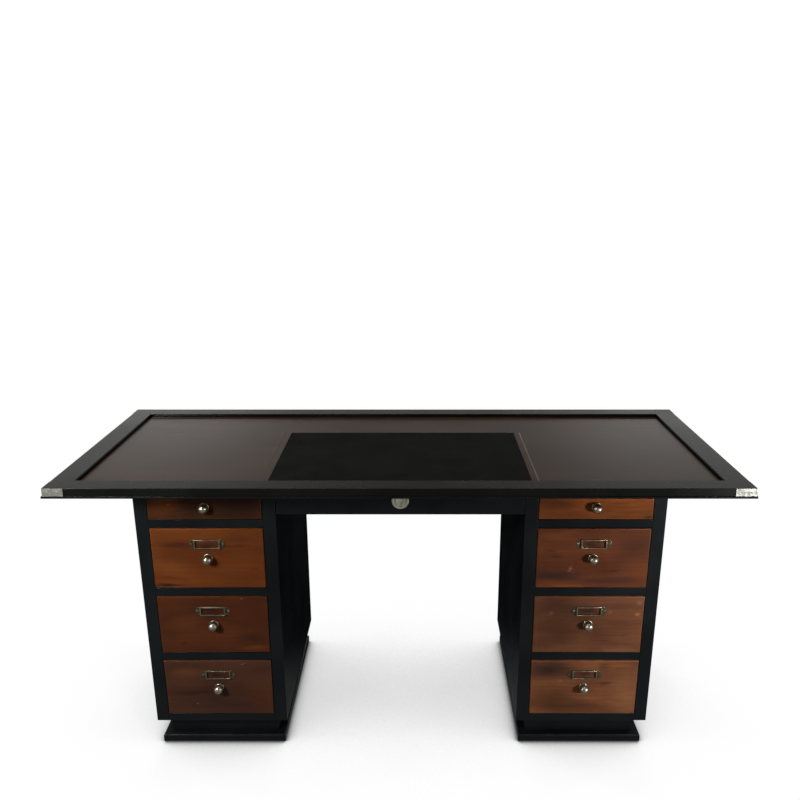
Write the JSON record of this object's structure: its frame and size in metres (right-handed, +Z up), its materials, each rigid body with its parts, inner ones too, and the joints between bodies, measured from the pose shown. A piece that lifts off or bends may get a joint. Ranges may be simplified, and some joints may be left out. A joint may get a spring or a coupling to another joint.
{
  "type": "pedestal desk",
  "caption": "Wide writing desk with a framed wood and leather top, drawer pedestals on recessed plinths, a shallow centre drawer and ball knobs.",
  "frame": {"origin": "on the floor, under the middle of the desk top", "axes": "+Z up, the drawers open towards -Y, +X to the sitter's right"},
  "size_m": [1.711, 0.757, 0.785],
  "materials": {
    "black_lacquer": "black lacquer, satin, a little orange peel",
    "drawer_wood": "oiled reddish brown wood with knots and streaks",
    "panel_wood": "dark brown polished wood",
    "box_wood": "plain sanded wood",
    "black_hide": "fine grained black leather",
    "pale_line": "pale inlaid line",
    "aged_brass": "antique brass, brushed and darkened",
    "plate_brass": "pale worn brass",
    "nickel": "polished nickel with a warm tone"
  },
  "bodies": {
    "desk": {"top_base_board": "black_lacquer", "top_border_front": "black_lacquer", "top_border_back": "black_lacquer", "top_border_ends": "black_lacquer", "back_apron": "black_lacquer", "top_panel": "panel_wood", "writing_leather": "black_hide", "leather_stringing": "pale_line", "corner_plates": "plate_brass", "corner_screws": "plate_brass", "top_fixing_screws": "nickel", "centre_runners": "box_wood", "left_outer_side": "black_lacquer", "left_inner_side": "black_lacquer", "left_back_panel": "black_lacquer", "left_face_frame": "black_lacquer", "left_boards": "black_lacquer", "left_plinth": "black_lacquer", "left_runners": "box_wood", "right_outer_side": "black_lacquer", "right_inner_side": "black_lacquer", "right_back_panel": "black_lacquer", "right_face_frame": "black_lacquer", "right_boards": "black_lacquer", "right_plinth": "black_lacquer", "right_runners": "box_wood"},
    "left_drawer_1": {"left_drawer_1_front": "drawer_wood", "left_drawer_1_box": "box_wood", "left_drawer_1_knob": "nickel"},
    "left_drawer_2": {"left_drawer_2_front": "drawer_wood", "left_drawer_2_box": "box_wood", "left_drawer_2_knob": "nickel", "left_drawer_2_label_holder": "aged_brass"},
    "left_drawer_3": {"left_drawer_3_front": "drawer_wood", "left_drawer_3_box": "box_wood", "left_drawer_3_knob": "nickel", "left_drawer_3_label_holder": "aged_brass"},
    "left_drawer_4": {"left_drawer_4_front": "drawer_wood", "left_drawer_4_box": "box_wood", "left_drawer_4_knob": "nickel", "left_drawer_4_label_holder": "aged_brass"},
    "right_drawer_1": {"right_drawer_1_front": "drawer_wood", "right_drawer_1_box": "box_wood", "right_drawer_1_knob": "nickel"},
    "right_drawer_2": {"right_drawer_2_front": "drawer_wood", "right_drawer_2_box": "box_wood", "right_drawer_2_knob": "nickel", "right_drawer_2_label_holder": "aged_brass"},
    "right_drawer_3": {"right_drawer_3_front": "drawer_wood", "right_drawer_3_box": "box_wood", "right_drawer_3_knob": "nickel", "right_drawer_3_label_holder": "aged_brass"},
    "right_drawer_4": {"right_drawer_4_front": "drawer_wood", "right_drawer_4_box": "box_wood", "right_drawer_4_knob": "nickel", "right_drawer_4_label_holder": "aged_brass"},
    "centre_drawer": {"centre_drawer_front": "black_lacquer", "centre_drawer_box": "box_wood", "pull_plate": "aged_brass"},
    "pull_ring": {"pull_ring": "aged_brass"}
  },
  "joints": [
    {"name": "left_drawer_1_slide", "type": "slide", "parent": "desk", "child": "left_drawer_1", "axis": [0, -1, 0], "range_m": [0, 0.38]},
    {"name": "left_drawer_2_slide", "type": "slide", "parent": "desk", "child": "left_drawer_2", "axis": [0, -1, 0], "range_m": [0, 0.38]},
    {"name": "left_drawer_3_slide", "type": "slide", "parent": "desk", "child": "left_drawer_3", "axis": [0, -1, 0], "range_m": [0, 0.38]},
    {"name": "left_drawer_4_slide", "type": "slide", "parent": "desk", "child": "left_drawer_4", "axis": [0, -1, 0], "range_m": [0, 0.38]},
    {"name": "right_drawer_1_slide", "type": "slide", "parent": "desk", "child": "right_drawer_1", "axis": [0, -1, 0], "range_m": [0, 0.38]},
    {"name": "right_drawer_2_slide", "type": "slide", "parent": "desk", "child": "right_drawer_2", "axis": [0, -1, 0], "range_m": [0, 0.38]},
    {"name": "right_drawer_3_slide", "type": "slide", "parent": "desk", "child": "right_drawer_3", "axis": [0, -1, 0], "range_m": [0, 0.38]},
    {"name": "right_drawer_4_slide", "type": "slide", "parent": "desk", "child": "right_drawer_4", "axis": [0, -1, 0], "range_m": [0, 0.38]},
    {"name": "centre_drawer_slide", "type": "slide", "parent": "desk", "child": "centre_drawer", "axis": [0, -1, 0], "range_m": [0, 0.35]},
    {"name": "pull_ring_hinge", "type": "hinge", "parent": "centre_drawer", "child": "pull_ring", "pos_m": [0, -0.2836, 0.734], "axis": [-1, 0, 0], "range_deg": [0, 90]}
  ]
}
